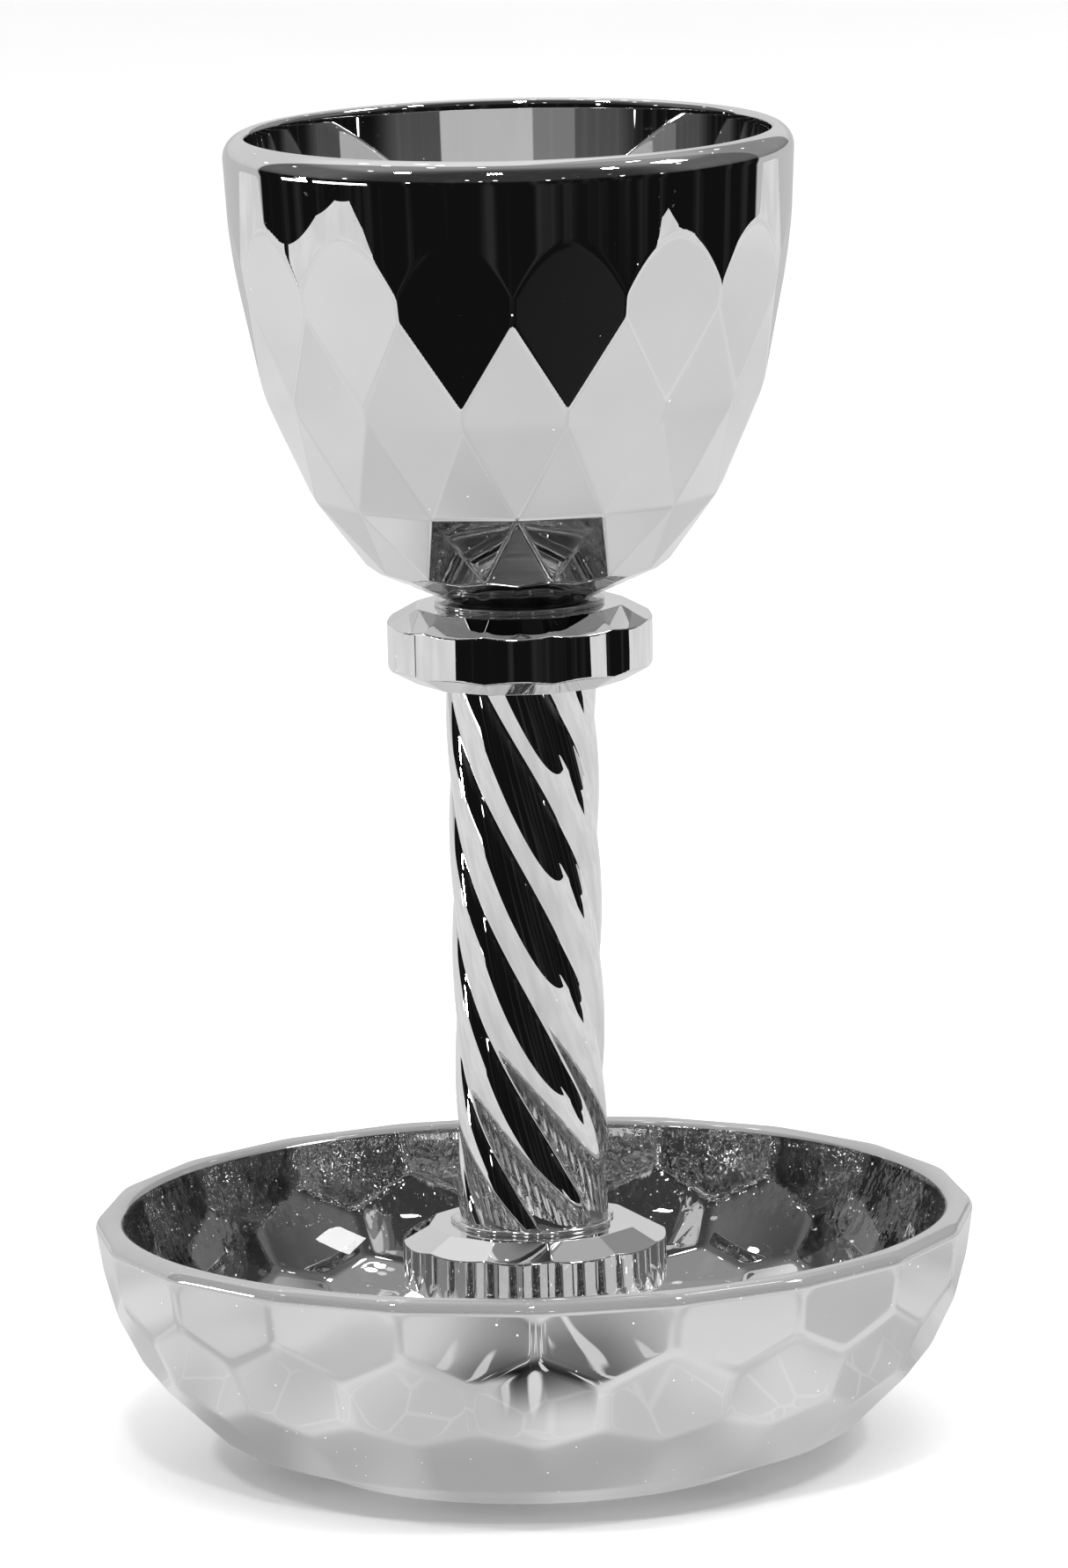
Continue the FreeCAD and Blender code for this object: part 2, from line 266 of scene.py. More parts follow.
def make_cup(materials):
    """Deep bowl: cut outside, smooth band, rounded lip and smooth hollow."""
    foot, top = span("cup")
    height = top - foot
    lip = height - LIP_DEPTH
    rows = cup_cuts()
    outline = np.array([
        (0.0, NECK_RADIUS), UNDERSIDE,
        (LOWER_RING[0], SHOULDER_RADIUS), (SHOULDER_HEIGHT, SHOULDER_RADIUS)])

    def outside(angle, z):
        under = np.interp(z, outline[:, 0], outline[:, 1])
        down = lip - z
        band = CUP_RIM_RADIUS - BAND_TAPER * down - BAND_BEND * down ** 2
        envelope = np.where(z < SHOULDER_HEIGHT, under, band)
        return carve(envelope, rows, angle, z, CUP_EDGE)

    heights = even_heights(lambda z: outside(4.0, z), 0.0, lip, CUP_STEP)
    angle = np.arange(CUP_COLUMNS) * (360.0 / CUP_COLUMNS)
    outer = outside(angle[None, :], heights[:, None])
    inner = CUP_RIM_RADIUS - CUP_WALL
    crown = CUP_RIM_RADIUS - LIP_RUN
    inner_foot = height - LIP_INNER
    rim = np.concatenate([
        arc((CUP_RIM_RADIUS, lip), (crown, height), LIP_RADIUS, False, 17)[1:],
        arc((inner + LIP_INNER, height), (inner, inner_foot), LIP_INNER * 1.05, False, 9),
    ])
    bowl = chain((inner, inner_foot), [
        ((36.5, 44.5), 600.0, True, 30),
        ((32.6, 31.3), 78.0, True, 22),
        ((26.3, 19.3), 52.0, True, 20),
        ((9.0, CUP_FLOOR), 20.0, True, 22),
    ])
    turned = np.concatenate([rim, bowl, flat_run((6.0, 3.0, 0.4), CUP_FLOOR)])
    bottom = flat_run((0.4, 4.0, 8.0, 11.6), 0.0)
    ones = np.ones((1, CUP_COLUMNS))
    radius = np.concatenate([bottom[:, :1] * ones, outer, turned[:, :1] * ones])
    z = np.concatenate(
        [bottom[:, 1:] * ones, heights[:, None] * ones, turned[:, 1:] * ones])
    # The first material is on the bowl. The second, a darker copy of the silver that paints
    # shade, is on the neck under the cuts.
    neck_rings = len(bottom) + int(np.searchsorted(heights, UNDERSIDE[0]))
    cup = round_mesh(
        "cup_bowl", radius, z + foot, angle[None, :] * np.ones_like(z),
        materials, bands=[(0, 1), (neck_rings, 0)])
    return stand_in(cup, "cup")


# --- Dish ------------------------------------------------------------------

DISH_SIDES = 20
DISH_COLUMNS = 1000
DISH_STEP = 0.42
DISH_EDGE = 0.45
DISH_OUTER_RADIUS = 65.0
DISH_INNER_RADIUS = 60.4
DISH_ROUND = 1.9
# The cells' corners: (height, distance from the axis).
DISH_CORNER = (28.1, 63.9)
DISH_LOW_CORNER = (13.7, 56.8)
# Millimetres out per millimetre up.
DISH_LOW_SLOPE = 1.02


def dish_cuts():
    """Three rows of cuts that make the honeycomb."""
    across = math.cos(math.pi / DISH_SIDES)
    turned = 180.0 / DISH_SIDES
    foot, top = span("dish")
    corner_face = (DISH_CORNER[0], DISH_CORNER[1] * across)
    rim_face = (top - foot - DISH_ROUND, DISH_OUTER_RADIUS * across)
    low_face = (DISH_LOW_CORNER[0], DISH_LOW_CORNER[1] * across)
    rise = 10.0
    low_face_above = (low_face[0] + rise, low_face[1] + DISH_LOW_SLOPE * rise)
    return [
        Cuts(DISH_SIDES, turned, corner_face, rim_face),
        Cuts(DISH_SIDES, 0.0, DISH_LOW_CORNER, DISH_CORNER),
        Cuts(DISH_SIDES, turned, low_face, low_face_above),
    ]


def make_dish(materials):
    """Thick glass bowl, silvered on its cut outside and clear on its inside."""
    foot, top = span("dish")
    rows = dish_cuts()
    lip = top - DISH_ROUND
    outline = np.array([
        (0.0, 34.5), (2.3, 40.0), (5.3, 48.4),
        (DISH_LOW_CORNER[0], DISH_OUTER_RADIUS), (lip, DISH_OUTER_RADIUS)])

    def outside(angle, z):
        envelope = np.interp(z, outline[:, 0], outline[:, 1])
        return carve(envelope, rows, angle, z, DISH_EDGE)

    heights = even_heights(lambda z: outside(4.0, z), 0.0, lip, DISH_STEP)
    angle = np.arange(DISH_COLUMNS) * (360.0 / DISH_COLUMNS)
    outer = outside(angle[None, :], heights[:, None])
    inner = DISH_INNER_RADIUS
    boss_top = span("foot_glue_film")[0] - foot
    quarter = np.linspace(0, math.pi / 2, 9)[1:]
    # The lip starts from the cut edge, so that each flat runs out at the rim.
    round_r = outer[-1][None, :] - DISH_ROUND * (1 - np.cos(quarter))[:, None]
    round_z = lip + DISH_ROUND * np.sin(quarter)
    turned = np.concatenate([
        arc((inner + DISH_ROUND, top), (inner, lip), DISH_ROUND * 1.05, False, 9),
        chain((inner, lip), [
            ((45.7, 14.8), 40.0, True, 40),
            ((25.7, 8.5), 35.0, True, 30),
            ((18.6, 10.2), 16.0, True, 12),
            ((16.6, 21.9), 60.0, True, 16),
            ((15.2, boss_top), 1.4, False, 6),
        ]),
        flat_run((12.0, 6.0, 0.5), boss_top),
    ])
    base = flat_run((0.5, 10.0, 20.0, 28.0, 33.8), 0.0)
    ones = np.ones((1, DISH_COLUMNS))
    radius = np.concatenate(
        [base[:, :1] * ones, outer, round_r, turned[:, :1] * ones])
    z = np.concatenate([
        base[:, 1:] * ones, heights[:, None] * ones,
        round_z[:, None] * ones, turned[:, 1:] * ones])
    # Silver outside, worn silver on the rim, and clear glass from the inner lip down.
    rim_from = len(base) + len(heights) - 1
    inner_lip_rings = 6
    clear_from = rim_from + len(round_r) + inner_lip_rings
    dish = round_mesh(
        "dish_bowl", radius, z + foot, angle[None, :] * np.ones_like(z),
        materials, bands=[(0, 0), (rim_from, 1), (clear_from, 2)])
    return stand_in(dish, "dish")


# --- Foot disc and collar --------------------------------------------------

DISC_SIDES = 12
DISC_COLUMNS = 480
DISC_STEP = 0.16
DISC_EDGE = 0.1
DISC_BEVEL = 2.45
DISC_FLAT = 15.07
DISC_CORNER_SOFTNESS = 0.06


def make_disc(name, node, turn, materials):
    """Round disc with twelve flat bevels round its top and its bottom.

    turn is the angle of one corner between two bevels.
    """
    foot, top = span(node)
    height = top - foot
    radius = reach(node)
    face = turn + 180.0 / DISC_SIDES
    rows = [
        Cuts(DISC_SIDES, face, (height - DISC_BEVEL, radius), (height, DISC_FLAT)),
        Cuts(DISC_SIDES, face, (0.0, DISC_FLAT), (DISC_BEVEL, radius)),
    ]

    def outside(angle, z):
        return carve(np.full_like(z * angle, radius), rows, angle, z, DISC_EDGE)

    heights = even_heights(lambda z: outside(face + 2.0, z), 0.0, height, DISC_STEP)
    angle = turn + np.arange(DISC_COLUMNS) * (360.0 / DISC_COLUMNS)
    outer = outside(angle[None, :], heights[:, None])
    shrink = np.array([0.02, 0.35, 0.6, 0.85, 1.0 - DISC_CORNER_SOFTNESS / DISC_FLAT])
    low = outer[0][None, :] * shrink[:, None]
    high = outer[-1][None, :] * shrink[::-1, None]
    r = np.concatenate([low, outer, high])
    z = np.concatenate([
        np.zeros_like(low), heights[:, None] * np.ones_like(outer),
        np.full_like(high, height)])
    disc = round_mesh(name, r, z + foot, angle[None, :] * np.ones_like(z), materials)
    return stand_in(disc, node)


# --- Stem ------------------------------------------------------------------

STEM_LOBES = 7
STEM_COLUMNS = STEM_LOBES * 32
STEM_RINGS = 220
STEM_EDGE = 0.12
LOBE_RADIUS = 6.4
VALLEY_RADIUS = 10.32
# Degrees of twist per millimetre, and what is added under one height and above another.
TWIST = 2.83
LOW_TWIST = 0.44
LOW_TWIST_UNDER = 57.0
HIGH_TWIST = 0.22
HIGH_TWIST_ABOVE = 99.0
TWIST_BLEND = 4.0
# Where one valley is: its angle at its height.
VALLEY_HEIGHT = 87.0
VALLEY_ANGLE = 2.7


def stem_turn(z):
    """Angle of one valley at that height.  The twist is tighter at the ends."""
    fine = np.linspace(30.0, 120.0, 2000)
    rate = TWIST + LOW_TWIST / (1 + np.exp((fine - LOW_TWIST_UNDER) / TWIST_BLEND))
    rate = rate + HIGH_TWIST / (1 + np.exp((HIGH_TWIST_ABOVE - fine) / TWIST_BLEND))
    turned = np.concatenate([[0], np.cumsum(rate[1:] * np.diff(fine))])
    turned = turned - np.interp(VALLEY_HEIGHT, fine, turned)
    return VALLEY_ANGLE - np.interp(z, fine, turned)


def make_stem(materials):
    """Seven-lobed rod with a left-hand twist."""
    foot, top = span("stem")
    centre = VALLEY_RADIUS * math.cos(math.pi / STEM_LOBES) - math.sqrt(
        LOBE_RADIUS ** 2 - (VALLEY_RADIUS * math.sin(math.pi / STEM_LOBES)) ** 2)
    step = 360.0 / STEM_LOBES

    def lobe(off):
        off = np.radians(off)
        return centre * np.cos(off) + np.sqrt(
            LOBE_RADIUS ** 2 - (centre * np.sin(off)) ** 2)

    along = np.arange(STEM_COLUMNS) * (360.0 / STEM_COLUMNS)
    off = np.mod(along, step) - step / 2
    section = soft_max(lobe(off), lobe(step - np.abs(off)), STEM_EDGE)
    heights = np.linspace(foot, top, STEM_RINGS)
    radius = np.repeat(section[None, :], len(heights), 0)
    shrink = np.array([0.02, 0.5, 0.97])[:, None]
    radius = np.concatenate([radius[:1] * shrink, radius, radius[:1] * shrink[::-1]])
    z = np.concatenate([np.full(3, foot), heights, np.full(3, top)])[:, None]
    angle = stem_turn(z) + along[None, :]
    stem = round_mesh("stem_rod", radius, z * np.ones_like(radius), angle, materials)
    return stand_in(stem, "stem")


# --- Glue ------------------------------------------------------------------

def wobble(angle, waves):
    """Uneven edge: a sum of (turns, size, start) waves round the axis."""
    total = np.zeros_like(angle)
    for turns, amount, start in waves:
        total = total + amount * np.sin(np.radians(angle * turns + start))
    return total


def make_glue(name, node, radius, over, waves, materials):
    """Bead of set glue with an uneven bulged edge.

    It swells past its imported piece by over, above and below.
    """
    foot, top = span(node)
    middle = (foot + top) / 2
    half = (top - foot) / 2 + over
    columns = 256
    angle = np.arange(columns) * (360.0 / columns)
    edge = radius + wobble(angle, waves)
    turn = np.linspace(-math.pi / 2, math.pi / 2, 15)
    bulge = half * 0.9
    r = edge[None, :] - bulge + bulge * np.cos(turn)[:, None]
    z = middle + half * np.sin(turn)[:, None] * np.ones_like(r)
    inner = np.array([0.03, 0.5])[:, None]
    r = np.concatenate([r[:1] * inner, r, r[:1] * inner[::-1]])
    z = np.concatenate([z[:1], z[:1], z, z[-1:], z[-1:]])
    made = round_mesh(name, r, z, angle[None, :] * np.ones_like(r), materials)
    return stand_in(made, node)


# --- Materials -------------------------------------------------------------

class Nodes:
    """Short calls for building one material's node tree."""

    def __init__(self, name):
        self.material = bpy.data.materials.new(name)
        self.material.use_nodes = True
        self.tree = self.material.node_tree
        self.shader = self.tree.nodes["Principled BSDF"]
        self.place = self.tree.nodes.new("ShaderNodeTexCoord").outputs["Object"]

    def link(self, source, target):
        self.tree.links.new(source, target)

    def noise(self, scale, detail=2.0, stretch=None):
        """Noise in object space; scale is in features per metre."""
        node = self.tree.nodes.new("ShaderNodeTexNoise")
        node.inputs["Scale"].default_value = scale
        node.inputs["Detail"].default_value = detail
        place = self.place
        if stretch:
            mapping = self.tree.nodes.new("ShaderNodeMapping")
            mapping.inputs["Scale"].default_value = stretch
            self.link(self.place, mapping.inputs["Vector"])
            place = mapping.outputs["Vector"]
        self.link(place, node.inputs["Vector"])
        return node.outputs["Fac"]

    def specks(self, scale, share):
        """Small round spots: scale places for them per metre, and a share of those filled."""
        node = self.tree.nodes.new("ShaderNodeTexVoronoi")
        node.inputs["Scale"].default_value = scale
        self.link(self.place, node.inputs["Vector"])
        pick = self.tree.nodes.new("ShaderNodeSeparateColor")
        self.link(node.outputs["Color"], pick.inputs[0])
        filled = self.ramp(pick.outputs[0], 1.0 - share, 1.001 - share, 0.0, 1.0)
        spread = self.math("MULTIPLY", pick.outputs[1], 0.13)
        spot = self.math("LESS_THAN", node.outputs["Distance"], spread)
        return self.math("MULTIPLY", spot, filled)

    def ramp(self, source, low, high, bottom, top):
        """Map source from low..high to bottom..top, clamped."""
        node = self.tree.nodes.new("ShaderNodeMapRange")
        node.interpolation_type = "SMOOTHSTEP"
        for socket, value in (("From Min", low), ("From Max", high),
                              ("To Min", bottom), ("To Max", top)):
            node.inputs[socket].default_value = value
        self.link(source, node.inputs["Value"])
        return node.outputs["Result"]

    def math(self, operation, first, second):
        node = self.tree.nodes.new("ShaderNodeMath")
        node.operation = operation
        for socket, value in zip(node.inputs, (first, second)):
            if isinstance(value, (int, float)):
                socket.default_value = value
            else:
                self.link(value, socket)
        return node.outputs["Value"]

    def mix(self, factor, first, second):
        node = self.tree.nodes.new("ShaderNodeMix")
        node.data_type = "RGBA"
        self.link(factor, node.inputs[0])
        for socket, grey in ((node.inputs[6], first), (node.inputs[7], second)):
            socket.default_value = (grey, grey, grey, 1.0)
        return node.outputs[2]

    def bump(self, source, distance):
        """Raise the surface by source, in units of distance in metres."""
        node = self.tree.nodes.new("ShaderNodeBump")
        node.inputs["Distance"].default_value = distance
        node.inputs["Strength"].default_value = 1.0
        self.link(source, node.inputs["Height"])
        self.link(node.outputs["Normal"], self.shader.inputs["Normal"])


def silver(name, tone, wave, wave_height, dust_share, mirror=1.0):
    """Bright silvering with faint waves, fine scratches and white dust.

    wave is in waves per metre and wave_height in millimetres.  mirror is how
    much of the coat still shines; the rest is matt.
    """
    n = Nodes(name)
    dust = n.specks(720.0, dust_share)
    film = n.ramp(n.noise(60.0, 5.0), 0.35, 0.75, 0.0, 1.0)
    n.link(n.math("MULTIPLY", n.math("SUBTRACT", 1.0, dust), mirror),
           n.shader.inputs["Metallic"])
    n.link(n.mix(n.math("MULTIPLY", film, 0.5), tone, tone * 0.92),
           n.shader.inputs["Base Color"])
    lines = n.ramp(n.noise(900.0, 2.0, (1.0, 0.05, 1.0)), 0.66, 0.74, 0.0, 0.06)
    n.link(lines, n.shader.inputs["Roughness"])
    n.bump(n.noise(wave, 1.0), wave_height * MM)
    return n.material


# The dish's glass is rippled near its rim: heights and depth in millimetres.
RIPPLE_FROM = 24.0
RIPPLE_FULL = 27.5
RIPPLE_DEPTH = 0.45


def clear_glass(name):
    """Clear dusty glass: smooth low down, rippled and dustier near the rim."""
    n = Nodes(name)
    parts = n.tree.nodes.new("ShaderNodeSeparateXYZ")
    n.link(n.place, parts.inputs[0])
    near_rim = n.ramp(parts.outputs["Z"], RIPPLE_FROM * MM, RIPPLE_FULL * MM, 0.0, 1.0)
    dust = n.math("MAXIMUM", n.specks(560.0, 0.35),
                  n.math("MULTIPLY", n.specks(800.0, 0.9), near_rim))
    n.link(n.math("SUBTRACT", 1.0, dust), n.shader.inputs["Transmission Weight"])
    n.shader.inputs["IOR"].default_value = 1.5
    n.shader.inputs["Base Color"].default_value = (0.97, 0.97, 0.97, 1.0)
    n.shader.inputs["Roughness"].default_value = 0.0
    ripple = n.math("MULTIPLY", near_rim, RIPPLE_DEPTH)
    relief = n.math("ADD", n.math("MULTIPLY", n.noise(35.0, 1.0), 0.02),
                    n.math("MULTIPLY", n.noise(430.0, 2.0, (1.0, 1.0, 0.6)), ripple))
    n.bump(relief, MM)
    return n.material


def glue(name):
    """Set clear glue, smooth and shiny, that takes its tone from the silver."""
    n = Nodes(name)
    n.shader.inputs["Metallic"].default_value = 0.9
    n.link(n.mix(n.ramp(n.noise(400.0, 3.0), 0.35, 0.65, 0.0, 1.0), 0.78, 0.55),
           n.shader.inputs["Base Color"])
    n.link(n.ramp(n.noise(900.0, 2.0), 0.3, 0.7, 0.02, 0.08), n.shader.inputs["Roughness"])
    n.bump(n.noise(300.0, 1.0), 0.04 * MM)
    return n.material


# --- Build -----------------------------------------------------------------

cup_silver = silver("silver_cup", 0.83, wave=30.0, wave_height=0.004, dust_share=0.03)
# A darker copy of the cup's silver: painted shade on the neck under the cuts.
cup_neck_painted_shade = silver("silver_cup_neck_painted_shade", 0.35, wave=60.0, wave_height=0.01, dust_share=0.05)
disc_silver = silver("silver_disc", 0.83, wave=45.0, wave_height=0.003, dust_share=0.02)
stem_silver = silver("silver_stem", 0.85, wave=60.0, wave_height=0.01, dust_share=0.08)
dish_silver = silver("silver_dish", 0.88, wave=110.0, wave_height=0.03, dust_share=0.25)
dish_rim = silver(
    "silver_rim", 0.45, wave=130.0, wave_height=0.04, dust_share=0.3, mirror=0.55)
dish_glass = clear_glass("glass_dish")
clear_glue = glue("glue_clear")

make_cup([cup_silver, cup_neck_painted_shade])
make_dish([dish_silver, dish_rim, dish_glass])
make_disc("collar_disc", "collar", 14.0, [disc_silver])
make_disc("foot_disc_cut", "foot_disc", 7.0, [disc_silver])
make_stem([stem_silver])
make_glue("stem_bead", "stem_glue_bead", radius=11.9, over=0.12,
          waves=[(7, 0.25, 40), (3, 0.15, 10), (11, 0.1, 80)], materials=[clear_glue])
make_glue("cup_ring", "cup_glue_ring", radius=12.5, over=0.05,
          waves=[(2, 0.1, 0), (5, 0.06, 30)], materials=[clear_glue])
make_glue("collar_film", "collar_glue_film", radius=10.2, over=0.0,
          waves=[(3, 0.3, 0)], materials=[clear_glue])
make_glue("foot_film", "foot_glue_film", radius=14.6, over=0.0,
          waves=[(5, 0.2, 0)], materials=[clear_glue])


# --- Table, room and light -------------------------------------------------

def flat_board(name, outline, material):
    """Level board with that outline, given in metres."""
    mesh = bpy.data.meshes.new(name)
    mesh.from_pydata(
        [(x, y, 0.0) for x, y in outline], [], [tuple(range(len(outline)))])
    mesh.materials.append(material)
    made = bpy.data.objects.new(name, mesh)
    bpy.context.scene.collection.objects.link(made)
    return made


def pale(name, tone):
    """Matt off-white board."""
    n = Nodes(name)
    n.link(n.mix(n.noise(8.0, 3.0), tone, tone * 0.97), n.shader.inputs["Base Color"])
    n.shader.inputs["Roughness"].default_value = 0.9
    n.shader.inputs["Specular IOR Level"].default_value = 0.0
    return n.material


# The table round the dish, in metres: where its tones and its painted shadows and light change.
DISH_SHADOW_FROM = 0.050
DISH_SHADOW_TO = 0.061
NET_NEAR = 0.062
NET_FAR = 0.075
SHADOW_FAR_END = -0.132
SHADOW_NEAR_END = -0.066
# Half the width of the goblet's shadow under the cup and under the stem.
CUP_SHADOW = 0.030
STEM_SHADOW = 0.007


def cloth(name):
    """Pale cover with soft patches, and painted shadows and light of the dish and goblet.

    Only reflections show it, so its tones are those that the silver carries.
    """
    n = Nodes(name)
    spread = n.tree.nodes.new("ShaderNodeVectorMath")
    spread.operation = "LENGTH"
    n.link(n.place, spread.inputs[0])
    away = spread.outputs["Value"]
    parts = n.tree.nodes.new("ShaderNodeSeparateXYZ")
    n.link(n.place, parts.inputs[0])
    across, along = parts.outputs["X"], parts.outputs["Y"]
    # Painted shade: the cover is darker close to the goblet and lighter far out, with soft random
    # patches.
    tone = n.math("ADD", n.ramp(away, 0.075, 0.45, 0.80, 0.93),
                  n.ramp(n.noise(8.0, 2.0), 0.3, 0.7, -0.08, 0.06))
    # Painted shadow of the dish on the table under its edge, and painted thin bright nets of the
    # light it throws round it.
    tone = n.math("SUBTRACT", tone, n.ramp(away, DISH_SHADOW_FROM, DISH_SHADOW_TO, 0.2, 0.0))
    # Uneven tone, mostly darker, within 12 cm of the axis and fading out by 16 cm.
    uneven = n.math("MULTIPLY", n.ramp(away, 0.12, 0.16, 1.0, 0.0),
                    n.ramp(n.noise(30.0, 1.0), 0.38, 0.62, -0.14, 0.06))
    tone = n.math("ADD", tone, uneven)
    # Painted light: the dish's thin bright nets, in a ring just outside its edge.
    net = n.tree.nodes.new("ShaderNodeTexVoronoi")
    net.feature = "DISTANCE_TO_EDGE"
    net.inputs["Scale"].default_value = 110.0
    n.link(n.place, net.inputs["Vector"])
    lines = n.ramp(net.outputs["Distance"], 0.0, 0.045, 1.0, 0.0)
    close = n.math("MULTIPLY", n.ramp(away, NET_NEAR - 0.002, NET_NEAR + 0.002, 0.0, 1.0),
                   n.ramp(away, NET_FAR - 0.005, NET_FAR + 0.005, 1.0, 0.0))
    tone = n.math("ADD", tone, n.math("MULTIPLY", n.math("MULTIPLY", lines, close), 0.08))
    # Painted shadow of the goblet, crossed by painted bright streaks of light: as narrow as the
    # stem near the dish, then as wide as the cup.
    width = n.ramp(along, -0.105, -0.074, CUP_SHADOW, STEM_SHADOW)
    side = n.math("DIVIDE", n.math("ABSOLUTE", n.math("ADD", across, -0.002), 0.0), width)
    shade = n.math("MULTIPLY", n.ramp(side, 0.7, 1.3, 1.0, 0.0),
                   n.ramp(along, SHADOW_NEAR_END - 0.009, SHADOW_NEAR_END, 1.0, 0.0))
    shade = n.math("MULTIPLY", shade,
                   n.ramp(along, SHADOW_FAR_END, SHADOW_FAR_END + 0.012, 0.0, 1.0))
    depth = n.ramp(along, -0.12, -0.07, 0.45, 0.7)
    streaks = n.ramp(n.noise(230.0, 1.0, (1.0, 0.2, 1.0)), 0.56, 0.62, 1.0, -0.2)
    tone = n.math("SUBTRACT", tone, n.math("MULTIPLY", n.math("MULTIPLY", shade, depth), streaks))
    join = n.tree.nodes.new("ShaderNodeCombineColor")
    for socket in join.inputs[:3]:
        n.link(tone, socket)
    n.link(join.outputs[0], n.shader.inputs["Base Color"])
    n.shader.inputs["Roughness"].default_value = 0.9
    n.shader.inputs["Specular IOR Level"].default_value = 0.0
    return n.material


FLOOR_REACH = 20.0
# The table that the silver mirrors ends close in front, with dark gaps at its
# sides, and reaches far back.  Many of its corners were found by following the
# edges of the photograph's reflections back through the cup's mirror.
TABLE_OUTLINE = [
    (-0.99, 0.95), (-0.99, 0.585), (-0.93, 0.5), (-0.935, 0.24), (-0.62, 0.143),
    (-0.935, 0.19), (-0.947, -0.10), (-0.916, -0.265), (-0.861, -0.37), (-0.77, -0.425),
    (-0.70, -0.45), (-0.53, -0.325), (-0.2, -0.297), (-0.1, -0.295), (0.12, -0.287),
    (0.58, -0.275), (0.74, -0.404), (0.795, -0.40), (0.835, -0.365), (0.845, -0.29),
    (0.82, -0.16), (0.69, -0.13), (0.53, -0.02), (0.51, 0.12), (0.70, 0.24),
    (0.84, 0.26), (0.91, 0.567), (0.985, 0.66), (0.99, 0.95),
]

floor = flat_board(
    "floor", [(-FLOOR_REACH, -FLOOR_REACH), (FLOOR_REACH, -FLOOR_REACH),
              (FLOOR_REACH, FLOOR_REACH), (-FLOOR_REACH, FLOOR_REACH)],
    pale("board_floor", 0.95))
table = flat_board("table", TABLE_OUTLINE, cloth("board_table"))
# The eye sees the floor, and reflections see the table.
floor.visible_glossy = False
floor.visible_transmission = False
table.visible_camera = False
table.visible_diffuse = False
table.visible_shadow = False


# Brightness of the parts of the room.
WALL_GLOW = 0.7
WALL_SHADE = 0.72
ROOM_GLOW = 0.008
STRIPE_GLOW = 0.025
ABOVE_TABLE_GLOW = 0.045
BESIDE_GLOW = 0.12
OVERHEAD_GLOW = 0.22
LAMP_GLOW = 10.0
EYE_LIGHT = 1.12
# Small lamps: places for them per unit of the direction's length, and how many are dark.
LAMP_PLACES = 11.0
LAMPS_DARK = 0.82


